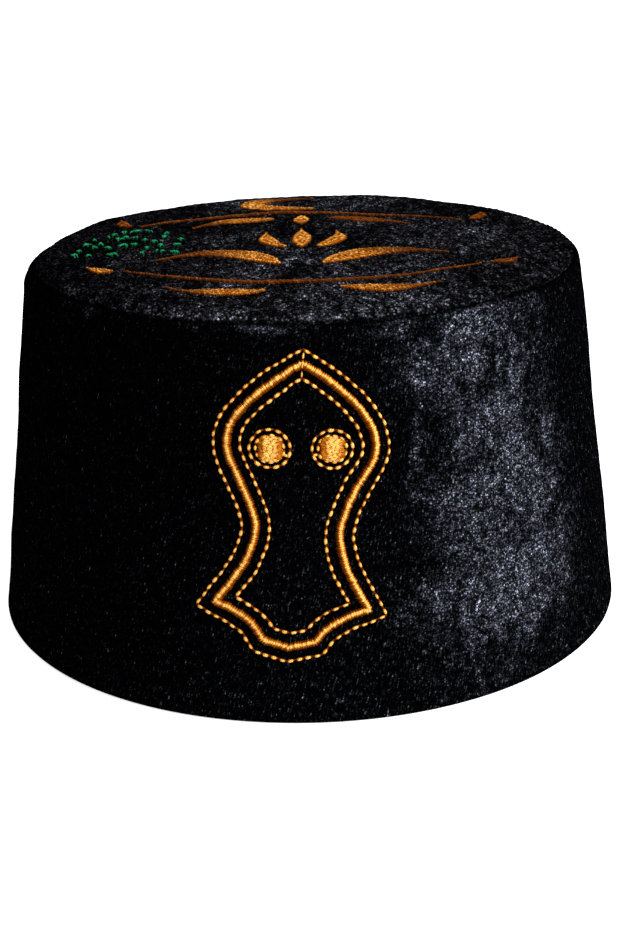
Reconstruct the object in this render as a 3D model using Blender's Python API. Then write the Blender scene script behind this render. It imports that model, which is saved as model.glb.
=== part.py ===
"""Flat-topped velvet cap with thread embroidery, in metres, +Z up.

The cap stands on its rim. The origin is the centre of the rim on the surface it stands on, and the
front, with the sandal motif, faces -Y. The side is a stiff tapered band of cloth, and the crown is a
disc of the same cloth sewn to it along the shoulder. The embroidery is thin raised thread work: a
sandal outline with two eyelets on the front, and a crescent with two leafy branches on the crown.
"""

import math

import bmesh
import bpy
from mathutils import Vector

# Driving dimensions of the cap.
RIM_RADIUS = 0.095
SHOULDER_RADIUS = 0.081  # where the straight side would meet the crown's plane
HEIGHT = 0.1075
CROWN_RISE = 0.0012  # of the crown's middle above its edge
WALL = 0.0025  # velvet, stiffening and backing together
SHOULDER_ROUND = 0.006  # mean radius of the rounded edge between side and crown
SHOULDER_SOFTENING = 0.002  # the edge is rounder than that at the left and crisper at the right
SEAM_GAP = 0.0003
HEM_ROUND = 0.0008  # rounding of the folded rim, outside and inside
TURNS = 72  # facets round the cap

# Embroidery.
THREAD_GAP = 0.0003  # between the cloth and the back of the thread work
THREAD_HEIGHT = 0.0006
CORD_WIDTH = 0.0018  # of the satin-stitched outline
SANDAL_LEAN = math.radians(4.2)  # the motif leans to the right of the cap's axis
SANDAL_HEIGHT = 0.0758
SANDAL_ASIDE = -0.0033  # of the motif's middle from the cap's front
SANDAL_UP = 0.0597  # from the rim to the motif's middle, along the slant
SANDAL_BOW = 0.0010  # how far the motif's axis bows to the right
SANDAL_TUCKS = [  # where a limb is drawn in: its side, from how far out, height, half the length, depth
    (1, 0.008, 0.0435, 0.0065, 0.0008),
    (-1, 0.002, 0.0705, 0.0095, 0.0012),
    (1, 0.002, 0.0720, 0.0070, 0.0004),
]
EYELET_RADIUS = 0.0037
EYELET_APART = 0.0160
EYELET_UP = 0.0534  # above the motif's lowest point
EYELET_LEVEL = 0.0003  # the right one is this much higher, and the left one lower, so that they stand level

LEAN = math.atan2(RIM_RADIUS - SHOULDER_RADIUS, HEIGHT)  # of the side, from vertical
APEX = RIM_RADIUS / math.sin(LEAN)  # slant distance from the rim to the cone's point

VELVET = ("velvet", (0.006, 0.006, 0.008), 0.85)
GOLD = ("gold_thread", (0.74, 0.36, 0.06), 0.38)
RUST = ("rust_thread", (0.30, 0.09, 0.015), 0.45)

# Right half of the sandal outline, in the motif's own plane with its lowest point at the origin: the side
# from the top point down to the heel's corner, then the heel down to the sole, which is straight.
SANDAL_SIDE = [
    (0.0, SANDAL_HEIGHT - 0.0005), (0.0076, 0.0710), (0.0145, 0.0648), (0.0186, 0.0581), (0.0189, 0.0515),
    (0.0152, 0.0435), (0.0120, 0.0364), (0.0109, 0.0310), (0.0128, 0.0234), (0.0166, 0.0163), (0.0203, 0.0109),
]
SANDAL_HEEL = [(0.0203, 0.0109), (0.0155, 0.0092), (0.0100, 0.0058), (0.0068, 0.0017)]

# Thread work of the crown: name, finish, spine from head to tip (three points), widest width, and the
# share of the spine where it is widest.
CROWN_LEAVES = [
    ("branch_front", RUST, [(-0.0500, -0.0300), (0.0000, -0.0620), (0.0500, -0.0300)], 0.0022, 0.50),
    ("branch_back", RUST, [(-0.0500, 0.0280), (0.0000, 0.0580), (0.0500, 0.0280)], 0.0022, 0.50),
    ("leaf_front_first", GOLD, [(-0.0100, -0.0530), (-0.0240, -0.0575), (-0.0370, -0.0490)], 0.0056, 0.35),
    ("leaf_front_large", GOLD, [(-0.0060, -0.0270), (-0.0210, -0.0060), (-0.0420, -0.0180)], 0.0080, 0.35),
    ("leaf_front_middle", GOLD, [(0.0060, -0.0270), (0.0210, -0.0060), (0.0420, -0.0180)], 0.0080, 0.35),
    ("leaf_front_small", GOLD, [(0.0100, -0.0530), (0.0240, -0.0575), (0.0370, -0.0490)], 0.0056, 0.35),
    ("leaf_back_left", GOLD, [(-0.0085, 0.0335), (-0.0220, 0.0345), (-0.0335, 0.0225)], 0.0056, 0.35),
    ("leaf_back_middle", GOLD, [(0.0000, 0.0375), (0.0000, 0.0320), (0.0000, 0.0245)], 0.0046, 0.40),
    ("leaf_back_right", RUST, [(0.0085, 0.0335), (0.0220, 0.0345), (0.0335, 0.0225)], 0.0056, 0.35),
    ("petal_left", GOLD, [(-0.0045, -0.0075), (-0.0125, -0.0010), (-0.0105, 0.0130)], 0.0052, 0.45),
    ("petal_middle", GOLD, [(0.0000, -0.0080), (0.0000, 0.0040), (0.0000, 0.0185)], 0.0056, 0.40),
    ("petal_right", GOLD, [(0.0045, -0.0075), (0.0125, -0.0010), (0.0105, 0.0130)], 0.0052, 0.45),
    ("bud_left", GOLD, [(-0.0530, -0.0285), (-0.0575, -0.0275), (-0.0610, -0.0230)], 0.0036, 0.50),
    ("bud_right", RUST, [(0.0530, -0.0285), (0.0575, -0.0275), (0.0610, -0.0230)], 0.0036, 0.50),
    ("sprig_left", RUST, [(-0.0530, 0.0295), (-0.0570, 0.0325), (-0.0570, 0.0385)], 0.0040, 0.50),
    ("sprig_right", RUST, [(0.0530, 0.0295), (0.0570, 0.0325), (0.0570, 0.0385)], 0.0040, 0.50),
]
CRESCENT_CENTRE = Vector((0.0, 0.0585))
CRESCENT_REACH = Vector((0.016, 0.0095))  # from its centre to its middle line, sideways and back
CRESCENT_WIDTH = 0.0075
CRESCENT_OPENING = math.radians(74)  # half the angle between its horns, which point to the right


def clear_scene():
    for obj in list(bpy.data.objects):
        bpy.data.objects.remove(obj)


def material(name, colour, roughness):
    made = bpy.data.materials.get(name) or bpy.data.materials.new(name)
    made.use_nodes = True
    shader = made.node_tree.nodes["Principled BSDF"]
    shader.inputs["Base Color"].default_value = (*colour, 1.0)
    shader.inputs["Roughness"].default_value = roughness
    return made


def add_object(name, mesh, finish, collection):
    mesh.materials.append(material(*finish))
    obj = bpy.data.objects.new(name, mesh)
    collection.objects.link(obj)
    return obj


# The cap's form.


def shoulder_round(angle):
    """Radius of the rounded edge at an angle from +X: large at the left, small at the right."""
    return SHOULDER_ROUND - SHOULDER_SOFTENING * math.cos(angle)


def shoulder_centre(angle):
    """(radius, height) of the centre of the shoulder's arc."""
    rounding = shoulder_round(angle)
    up = HEIGHT - rounding
    return RIM_RADIUS - rounding / math.cos(LEAN) - up * math.tan(LEAN), up


def shoulder_arc(angle, inset, start, end, steps, shift):
    """Points on the shoulder's arc, inset from the outer face, between two angles from horizontal.

    The point at the seam, half-way round the arc, is moved along the arc by shift, for the seam's gap.
    """
    centre, up = shoulder_centre(angle)
    radius = shoulder_round(angle) - inset
    seam = (LEAN + math.pi / 2) / 2
    points = []
    for step in range(steps + 1):
        turn = start + (end - start) * step / steps
        along = shift if math.isclose(turn, seam) else 0.0
        points.append((
            centre + radius * math.cos(turn) - along * math.sin(seam),
            up + radius * math.sin(turn) + along * math.cos(seam),
        ))
    return points


def crown_height(radius, angle):
    edge, _ = shoulder_centre(angle)
    return HEIGHT + CROWN_RISE * (1 - (radius / edge) ** 2)


def side_section(angle):
    """Closed section of the side band, up its outer face and down its inner face."""
    seam = (LEAN + math.pi / 2) / 2
    outer = shoulder_arc(angle, 0.0, LEAN, seam, 4, -SEAM_GAP / 2)
    inner = shoulder_arc(angle, WALL, seam, LEAN, 3, -SEAM_GAP / 2)
    foot = WALL / math.cos(LEAN)
    corner = HEM_ROUND * (1 - math.sqrt(0.5))
    hem_outer = [
        (RIM_RADIUS - HEM_ROUND, 0.0),
        (RIM_RADIUS - corner, corner),
        (RIM_RADIUS - HEM_ROUND * math.tan(LEAN), HEM_ROUND),
    ]
    hem_inner = [
        (RIM_RADIUS - foot - HEM_ROUND * math.tan(LEAN), HEM_ROUND),
        (RIM_RADIUS - foot + corner, corner),
        (RIM_RADIUS - foot + HEM_ROUND, 0.0),
    ]
    return hem_outer + outer + inner + hem_inner


def crown_sections(angle):
    """Outer and inner sections of the crown, from beside its middle out to the seam."""
    seam = (LEAN + math.pi / 2) / 2
    edge, _ = shoulder_centre(angle)
    flat = [edge * share for share in (0.25, 0.5, 0.75)]
    outer = [(radius, crown_height(radius, angle)) for radius in flat]
    outer += shoulder_arc(angle, 0.0, math.pi / 2, seam, 4, SEAM_GAP / 2)
    inner = [(radius, crown_height(radius, angle) - WALL) for radius in flat]
    inner += shoulder_arc(angle, WALL, math.pi / 2, seam, 3, SEAM_GAP / 2)
    return outer, inner


def turned_rows(made, section_at):
    """A row of vertices for each point of a section that changes with the angle round the axis."""
    angles = [math.tau * turn / TURNS for turn in range(TURNS)]
    sections = [section_at(angle) for angle in angles]
    return [
        [
            made.verts.new((section[i][0] * math.cos(angle), section[i][0] * math.sin(angle), section[i][1]))
            for angle, section in zip(angles, sections)
        ]
        for i in range(len(sections[0]))
    ]


def join_rows(made, lower, upper):
    for turn in range(TURNS):
        after = (turn + 1) % TURNS
        made.faces.new((lower[turn], lower[after], upper[after], upper[turn]))


def finished_mesh(name, made):
    bmesh.ops.recalc_face_normals(made, faces=made.faces)
    mesh = bpy.data.meshes.new(name)
    made.to_mesh(mesh)
    made.free()
    mesh.shade_smooth()
    mesh.set_sharp_from_angle(angle=math.radians(40))
    return mesh


def side_band():
    made = bmesh.new()
    rows = turned_rows(made, side_section)
    for lower, upper in zip(rows, rows[1:] + rows[:1]):
        join_rows(made, lower, upper)
    return finished_mesh("side_band", made)


def crown():
    made = bmesh.new()
    outer = turned_rows(made, lambda angle: crown_sections(angle)[0])
    inner = turned_rows(made, lambda angle: crown_sections(angle)[1])
    rows = outer + inner[::-1]
    for lower, upper in zip(rows, rows[1:]):
        join_rows(made, lower, upper)
    for row, height in ((outer[0], HEIGHT + CROWN_RISE), (inner[0], HEIGHT + CROWN_RISE - WALL)):
        middle = made.verts.new((0.0, 0.0, height))
        for turn in range(TURNS):
            made.faces.new((row[turn], row[(turn + 1) % TURNS], middle))
    return finished_mesh("crown", made)


# Flat thread work, drawn in a plane and laid on the cloth.


def smooth_line(points, steps):
    """A curve through the points (Catmull-Rom), with some steps between each two."""
    knots = [Vector(point) for point in points]
    ends = [2 * knots[0] - knots[1], *knots, 2 * knots[-1] - knots[-2]]
    line = []
    for before, start, end, after in zip(ends, ends[1:], ends[2:], ends[3:]):
        for step in range(steps):
            t = step / steps
            line.append(0.5 * (
                2 * start + (end - before) * t
                + (2 * before - 5 * start + 4 * end - after) * t ** 2
                + (3 * start - before - 3 * end + after) * t ** 3
            ))
    return line + [knots[-1]]


def sandal_outline():
    """The closed outline of the sandal, clockwise from its point, about its lowest point."""
    right = smooth_line(SANDAL_SIDE, 3) + smooth_line(SANDAL_HEEL, 2)[1:] + [Vector((0.0, 0.0))]
    return right + [Vector((-x, y)) for x, y in right[-2:0:-1]]


def beside(outline, distance):
    """The closed outline moved outwards by a distance, with mitred corners."""
    moved = []
    for before, here, after in zip(outline[-1:] + outline[:-1], outline, outline[1:] + outline[:1]):
        into = (here - before).normalized()
        out_of = (after - here).normalized()
        mitre = Vector((-into.y - out_of.y, into.x + out_of.x)).normalized()
        moved.append(here + mitre * distance / max(0.5, mitre.dot(Vector((-into.y, into.x)))))
    return moved


def disc_outline(centre, radius, count):
    return [
        centre + radius * Vector((math.cos(math.tau * i / count), math.sin(math.tau * i / count)))
        for i in range(count)
    ]


def leaf_outline(spine, width, widest, steps):
    """A leaf round a spine given as a list of points: it swells to its widest share and then tapers."""
    power = math.log(0.5) / math.log(widest)
    left, right = [], []
    for i in range(1, steps):
        share = i / steps
        at = share * (len(spine) - 1)
        low = min(int(at), len(spine) - 2)
        here = spine[low].lerp(spine[low + 1], at - low)
        along = (spine[low + 1] - spine[low]).normalized()
        half = 0.5 * width * math.sin(math.pi * share ** power) ** 0.8
        left.append(here + half * Vector((-along.y, along.x)))
        right.append(here - half * Vector((-along.y, along.x)))
    return [spine[0], *left, spine[-1], *right[::-1]]


def bent_spine(head, bend, tip, steps=24):
    """A quadratic curve from head to tip, drawn towards bend."""
    head, bend, tip = Vector(head), Vector(bend), Vector(tip)
    return [
        (1 - t) ** 2 * head + 2 * t * (1 - t) * bend + t ** 2 * tip
        for t in (i / steps for i in range(steps + 1))
    ]


def crescent_spine(steps=40):
    sweep = math.tau - 2 * CRESCENT_OPENING
    turns = [CRESCENT_OPENING + sweep * i / steps for i in range(steps + 1)]
    return [CRESCENT_CENTRE + CRESCENT_REACH * Vector((math.cos(t), math.sin(t))) for t in turns]


def flat_work(name, outlines):
    """A mesh of the area between closed outlines, one thread work's height thick, its back at z = 0."""
    curve = bpy.data.curves.new(name, "CURVE")
    curve.dimensions = "2D"
    curve.fill_mode = "BOTH"
    curve.extrude = THREAD_HEIGHT / 2
    for outline in outlines:
        spline = curve.splines.new("POLY")
        spline.points.add(len(outline) - 1)
        for point, at in zip(spline.points, outline):
            point.co = (at.x, at.y, 0.0, 1.0)
        spline.use_cyclic_u = True
    drawing = bpy.data.objects.new(name, curve)
    bpy.context.scene.collection.objects.link(drawing)
    bpy.context.view_layer.update()
    mesh = bpy.data.meshes.new_from_object(drawing.evaluated_get(bpy.context.evaluated_depsgraph_get()))
    bpy.data.objects.remove(drawing)
    made = bmesh.new()
    made.from_mesh(mesh)
    bmesh.ops.remove_doubles(made, verts=made.verts, dist=1e-6)
    bmesh.ops.translate(made, verts=made.verts, vec=(0.0, 0.0, THREAD_HEIGHT / 2))
    bpy.data.meshes.remove(mesh)
    return made


def on_side(point):
    """Where a point of the sandal's drawing lies on the side: x across, y up, z off the cloth."""
    middle = Vector((SANDAL_ASIDE, SANDAL_UP))
    foot = middle - SANDAL_HEIGHT / 2 * Vector((math.sin(SANDAL_LEAN), math.cos(SANDAL_LEAN)))
    x = point.x + SANDAL_BOW * math.sin(math.pi * point.y / SANDAL_HEIGHT)
    for side, inner, height, length, depth in SANDAL_TUCKS:
        limb = min(max((side * point.x - inner) / 0.004, 0), 1)
        x -= side * depth * limb * math.exp(-(((point.y - height) / length) ** 2))
    across = foot.x + x * math.cos(SANDAL_LEAN) + point.y * math.sin(SANDAL_LEAN)
    up = foot.y - x * math.sin(SANDAL_LEAN) + point.y * math.cos(SANDAL_LEAN)
    slant = APEX - math.hypot(across, APEX - up)
    angle = math.atan2(across, APEX - up) / math.sin(LEAN)
    off = point.z + THREAD_GAP
    radius = RIM_RADIUS - slant * math.sin(LEAN) + off * math.cos(LEAN)
    return Vector((
        radius * math.sin(angle),
        -radius * math.cos(angle),
        slant * math.cos(LEAN) + off * math.sin(LEAN),
    ))


def on_crown(point):
    """Where a point of the crown's drawing lies on the crown: x right, y back, z off the cloth."""
    height = crown_height(math.hypot(point.x, point.y), math.atan2(point.y, point.x))
    return Vector((point.x, point.y, height + THREAD_GAP + point.z))


def lay_work(name, outlines, place, finish, collection):
    made = flat_work(name, outlines)
    for vertex in made.verts:
        vertex.co = place(vertex.co)
    return add_object(name, finished_mesh(name, made), finish, collection)


def sandal(collection):
    outline = sandal_outline()
    band = [beside(outline, CORD_WIDTH / 2), beside(outline, -CORD_WIDTH / 2)]
    lay_work("sandal_outline", band, on_side, GOLD, collection)
    for name, side in (("eyelet_left", -1), ("eyelet_right", 1)):
        centre = Vector((side * EYELET_APART / 2, EYELET_UP + side * EYELET_LEVEL))
        lay_work(name, [disc_outline(centre, EYELET_RADIUS, 20)], on_side, GOLD, collection)


def crown_work(collection):
    crescent = leaf_outline(crescent_spine(), CRESCENT_WIDTH, 0.5, 24)
    lay_work("crescent", [crescent], on_crown, GOLD, collection)
    for name, finish, points, width, widest in CROWN_LEAVES:
        outline = leaf_outline(bent_spine(*points), width, widest, 14)
        lay_work(name, [outline], on_crown, finish, collection)


def main():
    clear_scene()
    cap = bpy.data.collections.new("velvet_cap")
    bpy.context.scene.collection.children.link(cap)
    add_object("side_band", side_band(), VELVET, cap)
    add_object("crown", crown(), VELVET, cap)
    sandal(cap)
    crown_work(cap)


main()
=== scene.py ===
"""The looks of a black velvet cap with gold embroidery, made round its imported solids.

Metres, +Z up, and the front with the sandal motif faces -Y. The cap stands on its rim. Its side and crown
are fine velvet shells that stand for the plain solids, and each piece of embroidery is worked again in
single threads that lie on the velvet.
"""

import math

import bpy
import numpy as np
from mathutils import Matrix, Vector


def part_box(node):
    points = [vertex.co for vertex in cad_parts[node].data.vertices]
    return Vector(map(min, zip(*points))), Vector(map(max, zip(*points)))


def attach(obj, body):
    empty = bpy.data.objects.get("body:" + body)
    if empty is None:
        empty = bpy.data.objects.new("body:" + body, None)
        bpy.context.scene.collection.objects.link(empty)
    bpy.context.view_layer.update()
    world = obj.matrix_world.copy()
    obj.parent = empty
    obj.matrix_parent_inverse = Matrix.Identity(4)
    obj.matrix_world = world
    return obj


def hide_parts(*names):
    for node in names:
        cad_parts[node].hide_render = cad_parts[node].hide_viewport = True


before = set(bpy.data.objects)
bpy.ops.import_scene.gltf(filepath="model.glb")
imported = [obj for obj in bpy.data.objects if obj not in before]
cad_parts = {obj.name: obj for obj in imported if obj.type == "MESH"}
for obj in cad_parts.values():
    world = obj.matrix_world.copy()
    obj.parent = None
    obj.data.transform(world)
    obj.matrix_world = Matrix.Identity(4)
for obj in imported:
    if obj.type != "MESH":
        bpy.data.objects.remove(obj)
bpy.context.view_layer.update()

# The cap's form, as its solids have it.
SIDE_LOW, SIDE_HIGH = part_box("side_band")
CROWN_RISE = 0.0012
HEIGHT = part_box("crown")[1].z - CROWN_RISE
RIM_RADIUS = SIDE_HIGH.x + 0.0001  # the rim's own rounding takes off 0.1 mm
SHOULDER_RADIUS = 0.081
WALL = 0.0025
SHOULDER_ROUND = 0.006
SHOULDER_SOFTENING = 0.002
LEAN = math.atan2(RIM_RADIUS - SHOULDER_RADIUS, HEIGHT)
APEX = RIM_RADIUS / math.sin(LEAN)
SEAM_TURN = (LEAN + math.pi / 2) / 2

COLUMNS = 600  # of the shells' grids, round the cap
SEAM_ROLL = 0.0008  # radius of the cloth's turned edge in the seam
SEAM_GAP = 0.0002
HEM_ROLL = WALL / 2
HEM_ALLOWANCE = 0.0095  # height of the velvet turned in at the rim
HEM_STEP = 0.0004  # its thickness on the backing
BACK_SEAM = 0.0005  # depth of the groove where the side's ends are joined
PILE_ROW = 0.0007  # between two rows of the velvet's pile
SEAM_WEAR_AND_LIGHT_REACH = 0.0045  # how far from the crown's seam the pile is rubbed up, with a painted highlight, and the seam's painted crease shade

# The velvet's pile. Scales are in repeats per metre, and turns go round from the front.
CROWN_TUFTS = 1900
SIDE_TUFTS = 2300
PILE_TIPS = 1750
PILE_CLUMPS = 420
CROWN_CRUSH = 46
SIDE_CRUSH = 62
DASHES_ACROSS = 1800
DASHES_UP = 560
ROW_LEAN = 0.27  # of the pile's rows to the right, for each metre up
SEAM_WEAR_AND_LIGHT_TURN = -0.45  # middle of the stretch of the crown's seam with rubbed pile and a painted highlight where light catches the shoulder
BRIGHT_TURN = 0.63  # middle of the painted pool of light on the side that faces the key light
BACK_TURN = -2.5  # middle of a second brushed stretch at the back
SHADED_TURN = -1.25  # middle of the stretch that lies away from the light

# The sandal motif, as its solids have it.
SANDAL_LEAN = math.radians(4.2)
SANDAL_HEIGHT = 0.0758
SANDAL_ASIDE = -0.0033
SANDAL_UP = 0.0597
SANDAL_BOW = 0.0010
SANDAL_TUCKS = [  # where a limb is drawn in: its side, from how far out, height, half the length, depth
    (1, 0.008, 0.0435, 0.0065, 0.0008),
    (-1, 0.002, 0.0705, 0.0095, 0.0012),
    (1, 0.002, 0.0720, 0.0070, 0.0004),
]
SANDAL_SIDE = [
    (0.0, SANDAL_HEIGHT - 0.0005), (0.0076, 0.0710), (0.0145, 0.0648), (0.0186, 0.0581), (0.0189, 0.0515),
    (0.0152, 0.0435), (0.0120, 0.0364), (0.0109, 0.0310), (0.0128, 0.0234), (0.0166, 0.0163), (0.0203, 0.0109),
]
SANDAL_HEEL = [(0.0203, 0.0109), (0.0155, 0.0092), (0.0100, 0.0058), (0.0068, 0.0017)]
SANDAL_SOLE = [(0.0068, 0.0017), (0.0, 0.0)]
EYELET_APART = 0.0160
EYELET_UP = 0.0534
EYELET_LEVEL = 0.0003  # how far the right eyelet stands above the middle height, and the left one below it
EYELET_RING = 0.0053
EYELET_EDGE = 0.0037
EYELET_STRETCH = 0.94

# Thread work, in metres. Distances out from the satin outline's middle are given at its foot and its top.
CORD_HALF = 0.00104  # half the satin outline's width
CORD_RISE = 0.00100
CORD_PITCH = 0.00066
OUTER_LINE = (0.0037, 0.0033)
INNER_LINE = (-0.0039, -0.0033)
HEEL_REACH = 1.45  # how far a running line's corner stands out, as a share of its distance
TOP_REACH = 1.12
RUN_PITCH = 0.00250

# Thread work of the crown: name, spine from head to tip, widest width, share of the spine where it is
# widest, and the shares of the spine between which the gold thread turns to its painted shade colour, rust
# brown.
CROWN_LEAVES = [
    ("branch_front", [(-0.0500, -0.0300), (0.0000, -0.0620), (0.0500, -0.0300)], 0.0022, 0.50, (-1.0, -0.5)),
    ("branch_back", [(-0.0500, 0.0280), (0.0000, 0.0580), (0.0500, 0.0280)], 0.0022, 0.50, (-1.0, -0.5)),
    ("leaf_front_first", [(-0.0100, -0.0530), (-0.0240, -0.0575), (-0.0370, -0.0490)], 0.0056, 0.35, (0.4, 0.8)),
    ("leaf_front_large", [(-0.0060, -0.0270), (-0.0210, -0.0060), (-0.0420, -0.0180)], 0.0080, 0.35, (0.3, 0.7)),
    ("leaf_front_middle", [(0.0060, -0.0270), (0.0210, -0.0060), (0.0420, -0.0180)], 0.0080, 0.35, (0.3, 0.7)),
    ("leaf_front_small", [(0.0100, -0.0530), (0.0240, -0.0575), (0.0370, -0.0490)], 0.0056, 0.35, (0.4, 0.8)),
    ("leaf_back_left", [(-0.0085, 0.0335), (-0.0220, 0.0345), (-0.0335, 0.0225)], 0.0056, 0.35, (0.4, 0.8)),
    ("leaf_back_middle", [(0.0000, 0.0375), (0.0000, 0.0320), (0.0000, 0.0245)], 0.0046, 0.40, (0.5, 0.9)),
    ("leaf_back_right", [(0.0085, 0.0335), (0.0220, 0.0345), (0.0335, 0.0225)], 0.0056, 0.35, (-1.0, -0.5)),
    ("petal_left", [(-0.0045, -0.0075), (-0.0125, -0.0010), (-0.0105, 0.0130)], 0.0052, 0.45, (0.7, 1.1)),
    ("petal_middle", [(0.0000, -0.0080), (0.0000, 0.0040), (0.0000, 0.0185)], 0.0056, 0.40, (0.7, 1.1)),
    ("petal_right", [(0.0045, -0.0075), (0.0125, -0.0010), (0.0105, 0.0130)], 0.0052, 0.45, (0.7, 1.1)),
    ("bud_left", [(-0.0530, -0.0285), (-0.0575, -0.0275), (-0.0610, -0.0230)], 0.0036, 0.50, (0.9, 1.5)),
    ("bud_right", [(0.0530, -0.0285), (0.0575, -0.0275), (0.0610, -0.0230)], 0.0036, 0.50, (-1.0, -0.5)),
    ("sprig_left", [(-0.0530, 0.0295), (-0.0570, 0.0325), (-0.0570, 0.0385)], 0.0040, 0.50, (-1.0, -0.5)),
    ("sprig_right", [(0.0530, 0.0295), (0.0570, 0.0325), (0.0570, 0.0385)], 0.0040, 0.50, (-1.0, -0.5)),
]
CRESCENT_CENTRE = (0.0, 0.0585)
CRESCENT_REACH = (0.016, 0.0095)
CRESCENT_WIDTH = 0.0075
CRESCENT_OPENING = math.radians(74)
LEAF_PITCH = 0.00046
LEAF_STITCH = 0.0017  # longest stitch in a leaf
LEAF_RISE = 0.00032
LEAF_THREAD = 0.00060

chance = np.random.default_rng(7)


# Materials.


class Value:
    """One output of a node. Arithmetic on it adds Math nodes to its finish."""

    def __init__(self, finish, socket):
        self.finish = finish
        self.socket = socket

    def math(self, operation, first, second):
        return self.finish.node("ShaderNodeMath", {"operation": operation}, {0: first, 1: second})

    def __add__(self, other):
        return self.math("ADD", self, other)

    def __radd__(self, other):
        return self.math("ADD", other, self)

    def __sub__(self, other):
        return self.math("SUBTRACT", self, other)

    def __rsub__(self, other):
        return self.math("SUBTRACT", other, self)

    def __mul__(self, other):
        return self.math("MULTIPLY", self, other)

    def __rmul__(self, other):
        return self.math("MULTIPLY", other, self)

    def __rpow__(self, other):
        return self.math("POWER", other, self)


class Finish:
    """A material, built node by node."""

    def __init__(self, name):
        self.material = bpy.data.materials.new(name)
        self.material.use_nodes = True
        self.tree = self.material.node_tree
        self.tree.nodes.clear()

    def node(self, kind, settings, values, output=0):
        """Adds a node, makes its settings, feeds its sockets, and gives one of its outputs."""
        made = self.tree.nodes.new(kind)
        for name, value in settings.items():
            setattr(made, name, value)
        for socket, value in values.items():
            if isinstance(value, Value):
                self.tree.links.new(value.socket, made.inputs[socket])
            else:
                made.inputs[socket].default_value = value
        return Value(self, made.outputs[output]) if len(made.outputs) else None

    def place(self):
        return self.node("ShaderNodeTexCoord", {}, {}, "Object")

    def parts(self, vector):
        """The X, Y and Z of a vector."""
        split = self.node("ShaderNodeSeparateXYZ", {}, {0: vector}).socket.node
        return [Value(self, output) for output in split.outputs]

    def vector(self, x, y, z):
        return self.node("ShaderNodeCombineXYZ", {}, {0: x, 1: y, 2: z})

    def attribute(self, name):
        return self.node("ShaderNodeAttribute", {"attribute_name": name}, {}, "Fac")

    def noise(self, vector, scale, detail=2.0, roughness=0.5, distortion=0.0):
        return self.node("ShaderNodeTexNoise", {}, {
            "Vector": vector, "Scale": scale, "Detail": detail, "Roughness": roughness,
            "Distortion": distortion,
        })

    def tuft_glints(self, vector, scale):
        """Painted glints, one for each tuft of pile, each with its own brightness, as a power of two."""
        away = self.node("ShaderNodeTexVoronoi", {}, {"Vector": vector, "Scale": scale}, "Distance")
        own, _, _ = self.parts(Value(self, away.socket.node.outputs["Color"]))
        return own * 6.5 - away * 6 - 0.8

    def cosine(self, angle):
        return self.node("ShaderNodeMath", {"operation": "COSINE"}, {0: angle})

    def most(self, first, second):
        return self.node("ShaderNodeMath", {"operation": "MAXIMUM"}, {0: first, 1: second})

    def rise(self, value, low, high):
        """0 up to low, 1 from high, and a smooth step between."""
        return self.node("ShaderNodeMapRange", {"interpolation_type": "SMOOTHSTEP"}, {
            "Value": value, "From Min": low, "From Max": high,
        })

    def mix(self, share, first, second):
        return self.node("ShaderNodeMix", {"data_type": "RGBA"}, {0: share, 6: first, 7: second}, 2)

    def bump(self, height, distance, strength=1.0):
        return self.node("ShaderNodeBump", {}, {"Height": height, "Distance": distance, "Strength": strength})

    def shade(self, values):
        shader = self.node("ShaderNodeBsdfPrincipled", {}, values)
        self.node("ShaderNodeOutputMaterial", {}, {"Surface": shader})
        return self.material


def grey(level, blue=0.0):
    return (level, level, level * (1 + blue), 1.0)


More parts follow.
